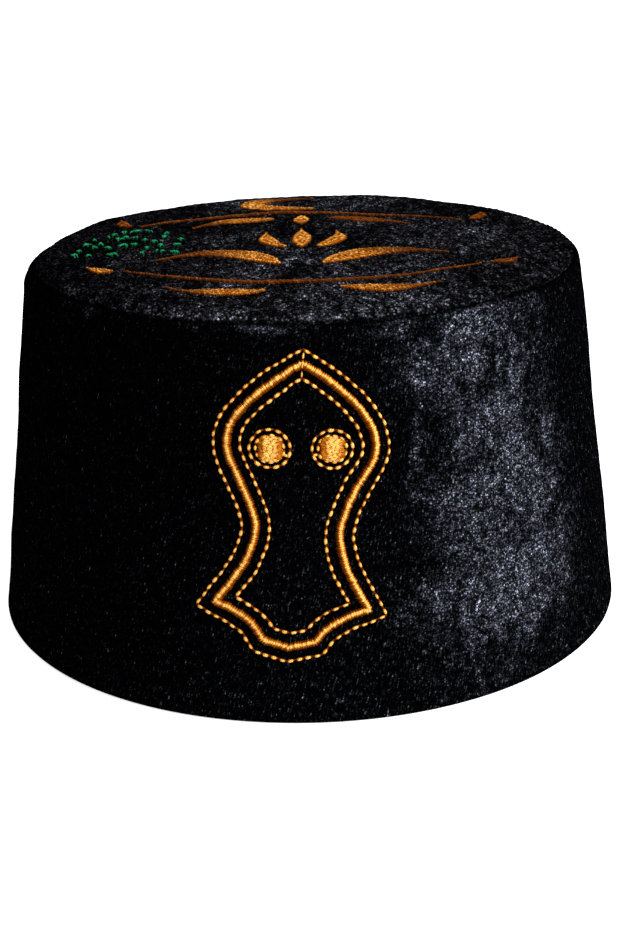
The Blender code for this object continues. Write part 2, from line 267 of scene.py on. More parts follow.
def velvet(name, on_crown):
    """Black crushed velvet: painted glints, one for each tuft of pile, brighter where the pile is brushed up in
    crushed patches and in a stretch at the back, in a painted pool of light where the side faces the key light,
    in painted light towards the crown's front and right, and in a painted highlight along the crown's seam; fine
    pile rows elsewhere.

    glint is the base colour's brightness as a power of two. It also carries painted shade in the seam's crease
    and on the side away from the light.
    """
    cloth = Finish(name)
    place = cloth.place()
    x, y, z = cloth.parts(place)
    around = cloth.node("ShaderNodeMath", {"operation": "ARCTAN2"}, {0: x, 1: y * -1})
    if on_crown:
        place = cloth.vector(x, y * 0.5, z)
    tips = cloth.noise(place, PILE_TIPS, detail=1.0) - 0.5
    clumps = cloth.noise(place, PILE_CLUMPS, detail=2.0) - 0.5
    crush_scale = CROWN_CRUSH if on_crown else SIDE_CRUSH
    crush = cloth.noise(place, crush_scale, detail=5.0, roughness=0.68, distortion=0.8) - 0.5
    # Closeness to the crown's seam: the mask for the rubbed pile, the painted highlight and the painted crease
    # shade.
    near_seam = cloth.attribute("seam_wear_and_light")
    # Pile rubbed up along the crown's seam at the front left, with a painted highlight where light catches the
    # shoulder.
    seam_wear_and_light = near_seam * cloth.rise(cloth.cosine(around - SEAM_WEAR_AND_LIGHT_TURN), 0.75, 0.97)
    # Painted shade in the seam's crease.
    seam_crease_shade = cloth.rise(near_seam, 0.82, 0.95) * 2.5
    if on_crown:
        # Painted light on the crown: brighter in from its left edge, a little darker at its far right, and
        # brighter towards the front.
        lit = cloth.rise(x, -0.080, -0.020) * 0.55 - cloth.rise(x, 0.050, 0.085) * 0.25
        # raised mixes the real crushed patches with this painted light and the painted seam highlight.
        raised = cloth.rise(crush * 3.0 - y * 2 + lit + seam_wear_and_light * 0.3, -0.1, 1.3)
        glint = cloth.tuft_glints(place, CROWN_TUFTS) + clumps * 9 + raised * 4.2 - seam_crease_shade - 10.1
        tint = (0.80, 0.81, 1.0, 1.0)
    else:
        # Painted pool of light where the side faces the key light, its middle shifting a little with height.
        lobe_turn = BRIGHT_TURN + cloth.rise(z, 0.0, 0.050) * 0.03 - cloth.rise(z, 0.055, 0.105) * 0.10
        key_light_pool = cloth.cosine(around - lobe_turn) * 13.0 - 11.9
        behind = cloth.cosine(around - BACK_TURN) * 1.6 - 0.9
        # The painted pool of light or the brushed stretch at the back, whichever is more, darker towards the
        # bottom.
        lit_and_brushed_lobes = cloth.most(cloth.most(key_light_pool, behind), -0.6) - cloth.rise(0.030 - z, 0.0, 0.025) * 0.6
        # raised mixes the real crushed patches with the painted pool of light and the painted seam highlight.
        raised = cloth.rise(crush * 2.8 + lit_and_brushed_lobes * 0.8 + seam_wear_and_light * (crush * 4 + 1.2), -0.05, 1.0)
        across = around * RIM_RADIUS - z * ROW_LEAN
        dash_place = cloth.vector(across * DASHES_ACROSS, z * DASHES_UP, 0.0)
        dashes = cloth.noise(dash_place, 1.0, detail=0.0) - 0.5
        rows = dashes * 14 + cloth.cosine(across * (math.tau / PILE_ROW) + crush * 8) * 0.9 - z * 12
        shaded = cloth.rise(cloth.cosine(around - SHADED_TURN), 0.3, 0.85) * 1.1
        glint = cloth.tuft_glints(place, SIDE_TUFTS) + clumps * 7 + rows * (1 - raised)
        glint = glint + raised * 5.2 - shaded - seam_crease_shade - 11.3
        tint = (0.72, 0.77, 1.0, 1.0)
    return cloth.shade({
        "Base Color": cloth.mix(2 ** glint, grey(0.0002, 0.3), tint),
        "Roughness": 0.8,
        "Specular IOR Level": 0.0,
        "Normal": cloth.bump(tips, 0.0003),
    })


def lining_cloth(name):
    """The plain black backing inside the cap."""
    cloth = Finish(name)
    weave = cloth.noise(cloth.place(), 1500, detail=1.0)
    return cloth.shade({
        "Base Color": cloth.mix(weave, grey(0.006), grey(0.016)),
        "Roughness": 0.9,
        "Specular IOR Level": 0.1,
        "Normal": cloth.bump(weave, 0.0002),
    })


def thread(name, gold, toned_colours):
    """Shiny rayon thread, with painted shade where it dips and on its flanks, between two sets of colours that a
    stitch's tone chooses.

    Each argument gives a colour three times: with a painted highlight where the thread catches light, with
    painted shade on its flanks, and with deeper painted shade where it dips. For the gold thread the second set
    is the gold painted as it looks in shade, a rust brown.
    """
    yarn = Finish(name)
    tone = yarn.attribute("tone")
    ply = yarn.node("ShaderNodeMath", {"operation": "SINE"}, {
        0: yarn.attribute("along") * 45.0 + yarn.attribute("around") * (2 * math.tau),
    })
    fibre = yarn.noise(yarn.place(), 2600, detail=1.0)
    # depth is painted shade, set by the stitch's shape and place, with a random speckle of the fibres.
    depth = yarn.attribute("depth") + fibre * 0.4 - 0.2
    flank_shade, dip_shade = yarn.rise(depth, 0.12, 0.50), yarn.rise(depth, 0.50, 1.0)
    first, second = (yarn.mix(dip_shade, yarn.mix(flank_shade, lit_and_shaded_dye[0], lit_and_shaded_dye[1]), lit_and_shaded_dye[2]) for lit_and_shaded_dye in (gold, toned_colours))
    return yarn.shade({
        "Base Color": yarn.mix(tone, first, second),
        "Metallic": 0.30,
        "Roughness": 0.36,
        "Specular IOR Level": 0.02,
        "Specular Tint": (1.0, 0.55, 0.2, 1.0),
        "Normal": yarn.bump(ply, 0.00003),
    })


def floor_paint():
    paint = Finish("pale_floor")
    grain = paint.noise(paint.place(), 40, detail=3.0)
    return paint.shade({
        "Base Color": paint.mix(grain, grey(0.70), grey(0.74)),
        "Roughness": 0.7,
        "Specular IOR Level": 0.1,
        "Emission Color": grey(1.0),
        "Emission Strength": 0.8,
    })


# Each set gives a thread's colour with a painted highlight, with painted shade on its flanks, and with deeper
# painted shade where it dips. The second set is the gold thread painted as it looks in shade, a rust brown.
GOLD = [(0.62, 0.340, 0.078, 1.0), (0.30, 0.082, 0.003, 1.0), (0.10, 0.020, 0.0007, 1.0)]
GOLD_IN_SHADE = [(0.13, 0.032, 0.003, 1.0), (0.085, 0.018, 0.0015, 1.0), (0.025, 0.005, 0.0004, 1.0)]
GREEN = [(0.006, 0.24, 0.085, 1.0), (0.003, 0.13, 0.045, 1.0), (0.001, 0.035, 0.013, 1.0)]


# The cloth's form. Angles go round from the front, towards the right.


def swell(points):
    """How far the cloth stands off its plain form: soft waves of three lengths, and none at the rim."""
    waves = np.random.default_rng(3)
    total = np.zeros(points.shape[:-1])
    for length, height in ((0.045, 0.00028), (0.017, 0.00010), (0.0065, 0.00005)):
        for _ in range(9):
            way = waves.normal(size=3)
            way *= math.tau / length / np.linalg.norm(way)
            total += height / 3 * np.cos(points @ way + waves.uniform(0, math.tau))
    return total * np.clip(points[..., 2] / 0.010, 0, 1)


def section_normal(rows):
    """Unit normals across a grid of points, rows by columns, closed round the columns."""
    up = np.gradient(rows, axis=0)
    round_ = np.roll(rows, -1, axis=1) - np.roll(rows, 1, axis=1)
    normal = np.cross(round_, up)
    return normal / np.maximum(np.linalg.norm(normal, axis=-1, keepdims=True), 1e-12)


def shoulder(around):
    """Rounding of the shoulder, and the radius and height of its arc's centre."""
    rounding = SHOULDER_ROUND - SHOULDER_SOFTENING * np.sin(around)
    up = HEIGHT - rounding
    return rounding, RIM_RADIUS - rounding / math.cos(LEAN) - up * math.tan(LEAN), up


def turned(around, radius, up):
    return np.stack([radius * np.sin(around), -radius * np.cos(around), up + 0 * around], axis=-1)


def arc_row(around, turn, inset):
    """A row of the shoulder's arc, at an angle from horizontal and inset from the outer face."""
    rounding, centre, up = shoulder(around)
    reach = rounding - inset
    return turned(around, centre + reach * math.cos(turn), up + reach * math.sin(turn))


def rolled_rows(around, way, count):
    """Rows of the cloth's edge as it turns down into the seam, from the side (way 1) or crown (way -1)."""
    rounding, centre, up = shoulder(around)
    rows = []
    for share in np.linspace(0, 1, count):
        start = SEAM_TURN - way * (SEAM_ROLL + SEAM_GAP / 2) / rounding
        turn = start + way * share * math.pi / 2
        reach = rounding - SEAM_ROLL
        radius = centre + reach * np.cos(start) + SEAM_ROLL * np.cos(turn)
        height = up + reach * np.sin(start) + SEAM_ROLL * np.sin(turn)
        rows.append(turned(around, radius, height))
    return rows


def fall_in(row_outer, row_inner):
    """A row half way between two."""
    return (row_outer + row_inner) / 2


def side_rows():
    """Rows of the side's closed section: up its outer face, into the seam, down inside and round the hem.

    Its columns stand closer together at the back, where its ends are joined. The last number is the count of
    rows on the outer face.
    """
    share = np.arange(COLUMNS) * math.tau / COLUMNS - math.pi
    around = share + 0.55 * np.sin(share)
    slope = math.tan(LEAN)
    rounding, _, _ = shoulder(around)
    outer = []
    straight_end = HEIGHT - rounding + rounding * math.sin(LEAN)
    for up in np.linspace(0, 1, 98):
        height = HEM_ROLL + (straight_end - HEM_ROLL) * up
        outer.append(turned(around, RIM_RADIUS - height * slope, height))
    for turn in np.linspace(LEAN, SEAM_TURN - 0.14, 7)[1:]:
        outer.append(arc_row(around, turn, 0.0))
    outer += rolled_rows(around, 1, 6)
    lip = arc_row(around, SEAM_TURN - 0.02, WALL)
    inner = [arc_row(around, turn, WALL) for turn in np.linspace(SEAM_TURN - 0.02, LEAN, 5)]
    foot = WALL / math.cos(LEAN)
    for up in np.linspace(0, 1, 13)[1:]:
        height = straight_end + (HEM_ALLOWANCE + 0.0003 - straight_end) * up
        inner.append(turned(around, RIM_RADIUS - foot - height * slope, height))
    hem = []
    for height in (HEM_ALLOWANCE, HEM_ALLOWANCE - 0.0008, 0.006, 0.0035, HEM_ROLL):
        stand = foot + HEM_STEP * min(1, (HEM_ALLOWANCE - height) / 0.0008)
        hem.append(turned(around, RIM_RADIUS - stand - height * slope, height))
    half = (foot + HEM_STEP) / 2
    for turn in np.linspace(-math.pi, 0, 9)[1:-1]:
        middle = RIM_RADIUS - half - HEM_ROLL * slope
        hem.append(turned(around, middle + half * math.cos(turn), HEM_ROLL * (1 + math.sin(turn))))
    return np.array([*outer, fall_in(outer[-1], lip), *inner, *hem]), len(outer), len(hem)


def from_seam(rows, seam_row):
    """Distance along the section from each row of a grid to its row at the seam."""
    steps = np.linalg.norm(np.diff(rows, axis=0), axis=-1)
    total = np.concatenate([np.zeros((1, rows.shape[1])), np.cumsum(steps, axis=0)])
    return np.abs(total - total[seam_row])


def pucker(points, distance):
    """How far the stitches of the seam draw the cloth in at points some distance from it."""
    around = np.arctan2(points[..., 0], -points[..., 1])
    drift = 1.5 * np.sin(around * 9) + 1.1 * np.sin(around * 17 + 1)
    return -0.00016 * np.exp(-distance / 0.0028) * (1 + np.sin(around * 150 + drift))


def mark_points(obj, name, values):
    layer = obj.data.attributes.new(name, "FLOAT", "POINT")
    layer.data.foreach_set("value", np.ascontiguousarray(values, np.float32).ravel())


def add_mesh(name, points, faces, materials, face_material=None):
    mesh = bpy.data.meshes.new(name)
    mesh.from_pydata(points.tolist(), [], faces)
    mesh.shade_smooth()
    for each in materials:
        mesh.materials.append(each)
    if face_material is not None:
        mesh.polygons.foreach_set("material_index", face_material)
    obj = bpy.data.objects.new(name, mesh)
    bpy.context.scene.collection.objects.link(obj)
    return obj


def ring_faces(rows, columns, closed_rows):
    """Quads between neighbouring rows of a grid whose columns go right round."""
    row = np.arange(rows if closed_rows else rows - 1)[:, None]
    column = np.arange(columns)[None, :]
    above = (row + 1) % rows
    after = (column + 1) % columns
    quads = [row * columns + column, row * columns + after, above * columns + after, above * columns + column]
    return np.stack(quads, axis=-1).reshape(-1, 4)


def side_shell(pile, backing):
    rows, outer_count, hem_count = side_rows()
    normal = section_normal(rows)
    distance = from_seam(rows, outer_count - 3)
    on_outer = (np.arange(len(rows)) < outer_count)[:, None]
    stand = np.where(on_outer, swell(rows) + pucker(rows, distance), -swell(rows))
    back = math.pi - np.abs(np.arctan2(rows[..., 0], -rows[..., 1]))
    stand -= np.where(on_outer, BACK_SEAM * np.exp(-(back * RIM_RADIUS / 0.0008) ** 2), 0)
    rows = rows + normal * stand[..., None]
    row_of_face = np.repeat(np.arange(len(rows)), COLUMNS)
    inside = (row_of_face > outer_count) & (row_of_face < len(rows) - hem_count - 1)
    obj = add_mesh(
        "side_velvet", rows.reshape(-1, 3), ring_faces(len(rows), COLUMNS, True).tolist(), [pile, backing],
        inside.astype(np.int32),
    )
    # Closeness to the crown's seam: the mask for its rubbed pile, painted highlight and painted crease shade.
    mark_points(obj, "seam_wear_and_light", np.where(on_outer, np.exp(-distance / SEAM_WEAR_AND_LIGHT_REACH), 0))
    return obj


def disc_grid(count):
    """Share of the radius and angle from the front for a square grid drawn out to a disc."""
    line = np.linspace(-1, 1, count + 1)
    a, b = np.meshgrid(line, line, indexing="ij")
    wide = np.abs(a) > np.abs(b)
    safe_a = np.where(a == 0, 1, a)
    safe_b = np.where(b == 0, 1, b)
    reach = np.where(wide, a, b)
    angle = np.where(wide, math.pi / 4 * b / safe_a, math.pi / 2 - math.pi / 4 * a / safe_b)
    angle = np.where((a == 0) & (b == 0), 0, angle)
    return np.abs(reach), np.where(reach < 0, angle + math.pi, angle)


def disc_edge(count):
    """The numbers of a square grid's border points, in order of angle, and its faces."""
    side = count + 1
    index = np.arange(side * side).reshape(side, side)
    border = np.concatenate([index[-1, :-1], index[::-1, -1][:-1], index[0, ::-1][:-1], index[:-1, 0]])
    quads = np.stack([index[:-1, :-1], index[1:, :-1], index[1:, 1:], index[:-1, 1:]], axis=-1).reshape(-1, 4)
    return border, quads


def crown_height(radius, around):
    _, edge, _ = shoulder(around)
    return HEIGHT + CROWN_RISE * (1 - (radius / edge) ** 2)


def crown_shell(pile, backing):
    count = COLUMNS // 4
    reach, angle = disc_grid(count)
    border, quads = disc_edge(count)
    _, edge, _ = shoulder(angle)
    top = turned(angle, reach * edge, 0)
    top[..., 2] = crown_height(reach * edge, angle)
    top = top.reshape(-1, 3)
    from_edge = ((1 - reach) * edge).reshape(-1)
    under = top - np.array([0, 0, WALL])
    around = angle.reshape(-1)[border]
    outer = [arc_row(around, turn, 0.0) for turn in np.linspace(math.pi / 2, SEAM_TURN + 0.14, 8)[1:]]
    outer += rolled_rows(around, -1, 6)
    lip = arc_row(around, SEAM_TURN + 0.02, WALL)
    inner = [arc_row(around, turn, WALL) for turn in np.linspace(SEAM_TURN + 0.02, math.pi / 2, 5)[:-1]]
    edge_rows = np.array([top[border], *outer, fall_in(outer[-1], lip), *inner, under[border]])
    distance = from_seam(edge_rows, len(outer) - 2)
    on_outer = (np.arange(len(edge_rows)) <= len(outer))[:, None]
    stand = np.where(on_outer, swell(edge_rows) + pucker(edge_rows, distance), -swell(edge_rows))
    edge_rows = edge_rows - section_normal(edge_rows) * stand[..., None]
    lift = swell(top)[:, None] * np.array([0, 0, 1.0])
    top, under = top + lift, under + lift
    top[border] = edge_rows[0]
    under[border] = edge_rows[-1]
    points = np.concatenate([top, under, edge_rows[1:-1].reshape(-1, 3)])
    numbers = np.concatenate([
        border[None, :],
        2 * len(top) + np.arange((len(edge_rows) - 2) * COLUMNS).reshape(-1, COLUMNS),
        border[None, :] + len(top),
    ])
    after = np.roll(numbers, -1, axis=1)
    skirt = np.stack([numbers[:-1], numbers[1:], after[1:], after[:-1]], axis=-1).reshape(-1, 4)
    faces = np.concatenate([quads, quads[:, ::-1] + len(top), skirt])
    inside = np.zeros(len(faces), np.int32)
    inside[len(quads): 2 * len(quads)] = 1
    inside[2 * len(quads) + (len(outer) + 1) * COLUMNS:] = 1
    obj = add_mesh("crown_velvet", points, faces.tolist(), [pile, backing], inside)
    # Closeness to the crown's seam: the mask for its rubbed pile, painted highlight and painted crease shade.
    edge_wear_and_light = np.where(on_outer, np.exp(-distance / SEAM_WEAR_AND_LIGHT_REACH), 0)
    top_wear_and_light = np.exp(-(from_edge + distance[0].mean()) / SEAM_WEAR_AND_LIGHT_REACH)
    mark_points(obj, "seam_wear_and_light", np.concatenate([top_wear_and_light, 0 * top_wear_and_light, edge_wear_and_light[1:-1].ravel()]))
    return obj


# Where thread work lies on the cloth.


def on_side(drawn, off):
    """Points and normals on the side for points of the sandal's drawing, off the cloth by some height."""
    middle = np.array([SANDAL_ASIDE, SANDAL_UP])
    lean = np.array([math.sin(SANDAL_LEAN), math.cos(SANDAL_LEAN)])
    foot = middle - SANDAL_HEIGHT / 2 * lean
    bowed = drawn[..., 0] + SANDAL_BOW * np.sin(math.pi * drawn[..., 1] / SANDAL_HEIGHT)
    for side, inner, height, length, depth in SANDAL_TUCKS:
        limb = np.clip((side * drawn[..., 0] - inner) / 0.004, 0, 1)
        bowed = bowed - side * depth * limb * np.exp(-((drawn[..., 1] - height) / length) ** 2)
    across = foot[0] + bowed * lean[1] + drawn[..., 1] * lean[0]
    up = foot[1] - bowed * lean[0] + drawn[..., 1] * lean[1]
    slant = APEX - np.hypot(across, APEX - up)
    around = np.arctan2(across, APEX - up) / math.sin(LEAN)
    normal = np.stack([
        math.cos(LEAN) * np.sin(around), -math.cos(LEAN) * np.cos(around), math.sin(LEAN) + 0 * around,
    ], axis=-1)
    plain = turned(around, RIM_RADIUS - slant * math.sin(LEAN), slant * math.cos(LEAN))
    return plain + normal * (swell(plain) + off)[..., None], normal


def on_crown(drawn, off):
    """Points and normals on the crown for points of its drawing, off the cloth by some height."""
    radius = np.hypot(drawn[..., 0], drawn[..., 1])
    around = np.arctan2(drawn[..., 0], -drawn[..., 1])
    plain = np.stack([drawn[..., 0], drawn[..., 1], crown_height(radius, around)], axis=-1)
    normal = np.zeros_like(plain)
    normal[..., 2] = 1.0
    return plain + normal * (swell(plain) + off)[..., None], normal


def stitched(name, place, drawn, off, widths, heights, depth, tone, finish, under=0.35, sides=8):
    """One mesh of many stitches.

    drawn: stitches by points by 2, in the drawing. off, widths, heights and depth of colour, a painted shade:
    stitches by points. tone: one for each stitch. under: how much painted shade a thread takes round its sides,
    most on its underside.
    """
    points, normal = place(drawn, off)
    along = np.gradient(points, axis=1)
    along /= np.linalg.norm(along, axis=-1, keepdims=True)
    across = np.cross(along, normal)
    across /= np.linalg.norm(across, axis=-1, keepdims=True)
    raised = np.cross(across, along)
    turn = np.arange(sides) * math.tau / sides
    ring = (
        points[:, :, None, :]
        + across[:, :, None, :] * np.cos(turn)[:, None] * widths[:, :, None, None] / 2
        + raised[:, :, None, :] * np.sin(turn)[:, None] * heights[:, :, None, None] / 2
    )
    count, steps = points.shape[:2]
    index = np.arange(count * steps * sides).reshape(count, steps, sides)
    after = np.roll(index, -1, axis=2)
    quads = np.stack([index[:, :-1], index[:, 1:], after[:, 1:], after[:, :-1]], axis=-1).reshape(-1, 4)
    caps = np.concatenate([index[:, 0], index[:, -1, ::-1]])
    obj = add_mesh(name, ring.reshape(-1, 3), quads.tolist() + caps.tolist(), [finish])
    shape = (count, steps, sides)
    # Painted shade round the thread's sides, most on its underside.
    low = under * (1 - np.sin(turn))[None, None, :]
    marks = {
        "along": np.broadcast_to(np.linspace(0, 1, steps)[None, :, None], shape),
        "around": np.broadcast_to((np.arange(sides) / sides)[None, None, :], shape),
        "depth": np.clip(depth[:, :, None] + low, 0, 1),
        "tone": np.broadcast_to(tone[:, None, None], shape),
    }
    for mark, values in marks.items():
        mark_points(obj, mark, values)
    return obj


# Lines of the drawings.


def smooth_line(points, steps=16):
    """A curve through the points (Catmull-Rom), with some steps between each two."""
    knots = np.array(points)
    ends = np.concatenate([[2 * knots[0] - knots[1]], knots, [2 * knots[-1] - knots[-2]]])
    share = (np.arange(steps) / steps)[:, None]
    line = []
    for before, start, end, after in zip(ends, ends[1:], ends[2:], ends[3:]):
        line.append(0.5 * (
            2 * start + (end - before) * share
            + (2 * before - 5 * start + 4 * end - after) * share ** 2
            + (3 * start - before - 3 * end + after) * share ** 3
        ))
    return np.concatenate([*line, knots[-1:]])


def lengths(line):
    """Distance along a line to each of its points."""
    return np.concatenate([[0], np.cumsum(np.linalg.norm(np.diff(line, axis=0), axis=1))])


def along_line(line, distances):
    total = lengths(line)
    return np.stack([np.interp(distances, total, line[:, i]) for i in (0, 1)], axis=-1)


def tangents(line):
    way = np.gradient(line, axis=0)
    return way / np.linalg.norm(way, axis=1, keepdims=True)


def beside(line, distances):
    """A line moved to its left by a distance at each point, and drawn out straight at both ends."""
    way = tangents(line)
    moved = line + np.stack([-way[:, 1], way[:, 0]], axis=-1) * distances[:, None]
    reach = 3 * np.abs(distances).max()
    return np.concatenate([[moved[0] - way[0] * reach], moved, [moved[-1] + way[-1] * reach]])


def meet(first, second):
    """Two lines cut off where they cross: the end of the first and the start of the second."""
    a, b = first[:-1, None], np.diff(first, axis=0)[:, None]
    c, d = second[None, :-1], np.diff(second, axis=0)[None, :]
    cross = b[..., 0] * d[..., 1] - b[..., 1] * d[..., 0]
    cross = np.where(np.abs(cross) < 1e-18, 1e-18, cross)
    gap = c - a
    t = (gap[..., 0] * d[..., 1] - gap[..., 1] * d[..., 0]) / cross
    u = (gap[..., 0] * b[..., 1] - gap[..., 1] * b[..., 0]) / cross
    i, j = np.argwhere((t >= 0) & (t <= 1) & (u >= 0) & (u <= 1))[-1]
    corner = first[i] + t[i, j] * (first[i + 1] - first[i])
    return np.concatenate([first[:i + 1], [corner]]), np.concatenate([[corner], second[j + 1:]])


def sandal_limbs():
    """The outline's smooth stretches between its corners, clockwise from the top point."""
    right = [smooth_line(SANDAL_SIDE), smooth_line(SANDAL_HEEL), np.linspace(*np.array(SANDAL_SOLE), 12)]
    left = [limb[::-1] * (-1, 1) for limb in right[::-1]]
    return right + left


def limbs_beside(limbs, distances):
    """The closed outline moved outwards by a distance at its foot and its top, and joined at its corners."""
    moved = []
    for limb in limbs:
        moved.append(beside(limb, np.interp(limb[:, 1], (0, SANDAL_HEIGHT), distances)))
    for i, limb in enumerate(limbs):
        moved[i - 1], moved[i] = meet(moved[i - 1], moved[i])
        corner, cord_corner = moved[i][0].copy(), limb[0]
        at_top = cord_corner[1] > SANDAL_HEIGHT / 2
        aside = abs(np.interp(cord_corner[1], (0, SANDAL_HEIGHT), distances))
        most = (TOP_REACH if at_top else HEEL_REACH) * aside
        reach = np.linalg.norm(corner - cord_corner)
        pull = (corner - cord_corner) * min(0, most / reach - 1)
        for j in (i - 1, i):
            near = np.clip(1 - np.linalg.norm(moved[j] - corner, axis=1) / 0.009, 0, 1) ** 1.5
            moved[j] = moved[j] + pull * near[:, None]
    return moved


def rung_ways(loop, distances, window):
    """Unit directions along a closed line at distances along it, averaged over a window."""
    total = lengths(loop)[-1]
    ahead = along_line(loop, (distances + window) % total)
    behind = along_line(loop, (distances - window) % total)
    way = ahead - behind
    return way / np.linalg.norm(way, axis=1, keepdims=True)


# Stitches.


def running_stitches(name, lines, pitch, place, finish, width=0.00086, rise=0.00040, steps=11):
    """Running stitches along some lines, a whole number on each: each a plump bead that dips to its holes."""
    drawn = []
    for line in lines:
        total = lengths(line)[-1]
        ends = np.linspace(0, total, max(1, round(total / pitch)) + 1)
        for start, end in zip(ends, ends[1:]):
            drawn.append(along_line(line, np.linspace(start, end, steps)))
    drawn = np.array(drawn)
    count = len(drawn)
    drawn += chance.normal(0, 0.00007, (count, 1, 2))
    share = np.linspace(0, 1, steps)[None, :]
    plump = np.clip(1.35 * np.sin(math.pi * np.clip(share * 1.4 - 0.20, 0, 1)), 0, 1)
    size = chance.uniform(0.85, 1.12, (count, 1))
    widths = width * size * (0.55 + 0.45 * plump)
    # Painted highlight on the plump middle, painted shade where the bead dips to its holes, and some at random.
    depth = 0.90 - 0.9 * plump ** 1.5 + chance.uniform(0, 0.2, (count, 1))
    tone = chance.uniform(0.0, 0.1, count)
    off = rise * size * plump + 0.00012
    return stitched(name, place, drawn, off, widths, 0.8 * widths, depth, tone, finish)


def satin_stitches(
    name, left, right, rise, place, tone, finish, width, steps=9, lay=0.0, edge=1.0, mixed=0.3, least=0.0,
    lean=0.0,
):
    """Satin stitches from points on one edge to points on the other, arched over the middle.

    edge: how much painted shade their ends take, against a painted highlight on the crest. mixed: how much the
    stitches differ at random in depth of colour, over a least depth of painted shade that is one number or one
    for
    each stitch. lean: how far their crest, and the painted highlight on it, leans towards the drawing's upper
    right, where the light comes from, as a share of their length.
    """
    count = len(left)
    share = np.linspace(0, 1, steps)[None, :]
    drawn = left[:, None, :] * (1 - share[..., None]) + right[:, None, :] * share[..., None]
    way = (right - left) / np.linalg.norm(right - left, axis=1, keepdims=True)
    # The crest, and the painted highlight on it, lean towards the light at the upper right.
    crest = 0.5 + lean * (way @ (0.5, 0.87))[:, None]
    rising = np.where(share < crest, share / crest, (1 - share) / (1 - crest))
    arch = np.sqrt(1 - (1 - rising) ** 2)
    size = chance.uniform(0.86, 1.14, (count, 1))
    off = rise[:, None] * arch * size - 0.00005 + lay
    widths = width * size * (0.6 + 0.4 * arch)
    own = np.broadcast_to(least, count) + chance.uniform(0, mixed, count)
    # Painted shade at the ends, painted highlight on the crest, and a random depth for each stitch.
    depth = edge * np.clip(1.6 - 1.65 * arch ** 4, 0, 1) + own[:, None]
    return stitched(name, place, drawn, off, widths, 0.8 * widths, depth, tone, finish, 0.12)


def sandal_cord(finish):
    """The satin outline: rungs across the middle line, fanned out round its corners."""
    loop = sandal_loop()
    total = lengths(loop)[-1]
    count = round(total / CORD_PITCH)
    distances = np.arange(count) * total / count
    middle = along_line(loop, distances)
    way = rung_ways(loop, distances, 0.0011)
    local = rung_ways(loop, distances, 0.0001)
    straight = np.clip(np.sum(way * local, axis=1), 0.5, 1)
    half = CORD_HALF / straight
    point = 0.0045 * np.clip(0.85 - straight, 0, 1)
    side = np.stack([-way[:, 1], way[:, 0]], axis=-1)
    slant = way * 0.00012
    outer = middle + side * (half + point + chance.normal(0, 0.00010, count))[:, None] + slant
    inner = middle - side * (half + chance.normal(0, 0.00010, count))[:, None] - slant
    made = satin_stitches(
        "sandal_cord", outer, inner, np.full(count, CORD_RISE), on_side, chance.uniform(0, 0.1, count), finish,
        0.00092, edge=1.0, mixed=0.2, lean=0.26,
    )
    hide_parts("sandal_outline")
    return made


def sandal_loop():
    limbs = sandal_limbs()
    return np.concatenate([limb[:-1] for limb in limbs] + [limbs[0][:1]])


def sandal_padding(finish):
    """The flat padding under the satin outline, all in the thread's deepest painted shade."""
    loop = sandal_loop()
    total = lengths(loop)[-1]
    line = along_line(loop, np.linspace(0, total, 500) % total)
    flat = np.ones((1, 500))
    return stitched(
        "sandal_padding", on_side, line[None], flat * 0.0001, flat * 0.0014, flat * 0.0008, flat, np.zeros(1),
        finish,
    )


def eyelet(name, node, centre, finish):
    """A filled round: two crossing layers of short satin stitches, higher in the middle, with a painted
    highlight there and painted shade towards its rim and its left side.
    """
    lefts, rights, rises, least = [], [], [], []
    for lean, radius in ((0.45, 0.0030), (-0.4, 0.0032)):
        for offset in np.arange(-radius, radius, 0.00050) + 0.0002:
            half = math.sqrt(max(radius ** 2 - offset ** 2, 1e-8)) + chance.uniform(-0.0001, 0.0002)
            cuts = np.linspace(-half, half, max(1, round(2 * half / 0.0013)) + 1)
            cuts[1:-1] += chance.normal(0, 0.0002, len(cuts) - 2)
            for start, end in zip(cuts, cuts[1:]):
                out = abs(start + end) / 2 / radius
                tilt = lean * math.sqrt(max(0, 1 - (offset / radius) ** 2))
                lefts.append((start - 0.0001, offset + start * tilt + chance.normal(0, 0.00012)))
                rights.append((end + 0.0001, offset + end * tilt + chance.normal(0, 0.00012)))
                rises.append(0.0002 + 0.0005 * half / radius * (1 - out ** 2))
                # Painted shade, deeper towards the rim and on the left side, away from the light.
                least.append(0.55 * out ** 2 + 0.45 * max(0, -(start + end) / 2 / radius - 0.25))
    left, right = np.array(lefts) + centre, np.array(rights) + centre
    made = satin_stitches(
        name, left, right, np.array(rises), on_side, chance.uniform(0, 0.06, len(left)), finish, 0.00068,
        lay=0.0003, edge=0.2, mixed=0.2, least=np.array(least),
    )
    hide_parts(node)
    return made


def circle(centre, radius, stretch=1.0, start=0.0, sweep=math.tau, steps=72):
    turn = start + np.linspace(0, 1, steps + 1) * sweep
    return np.array(centre) + radius * np.stack([np.cos(turn), stretch * np.sin(turn)], axis=-1)


def bent_spine(head, bend, tip, steps=60):
    """A quadratic curve from head to tip, drawn towards bend."""
    share = np.linspace(0, 1, steps + 1)[:, None]
    head, bend, tip = np.array(head), np.array(bend), np.array(tip)
    return (1 - share) ** 2 * head + 2 * share * (1 - share) * bend + share ** 2 * tip


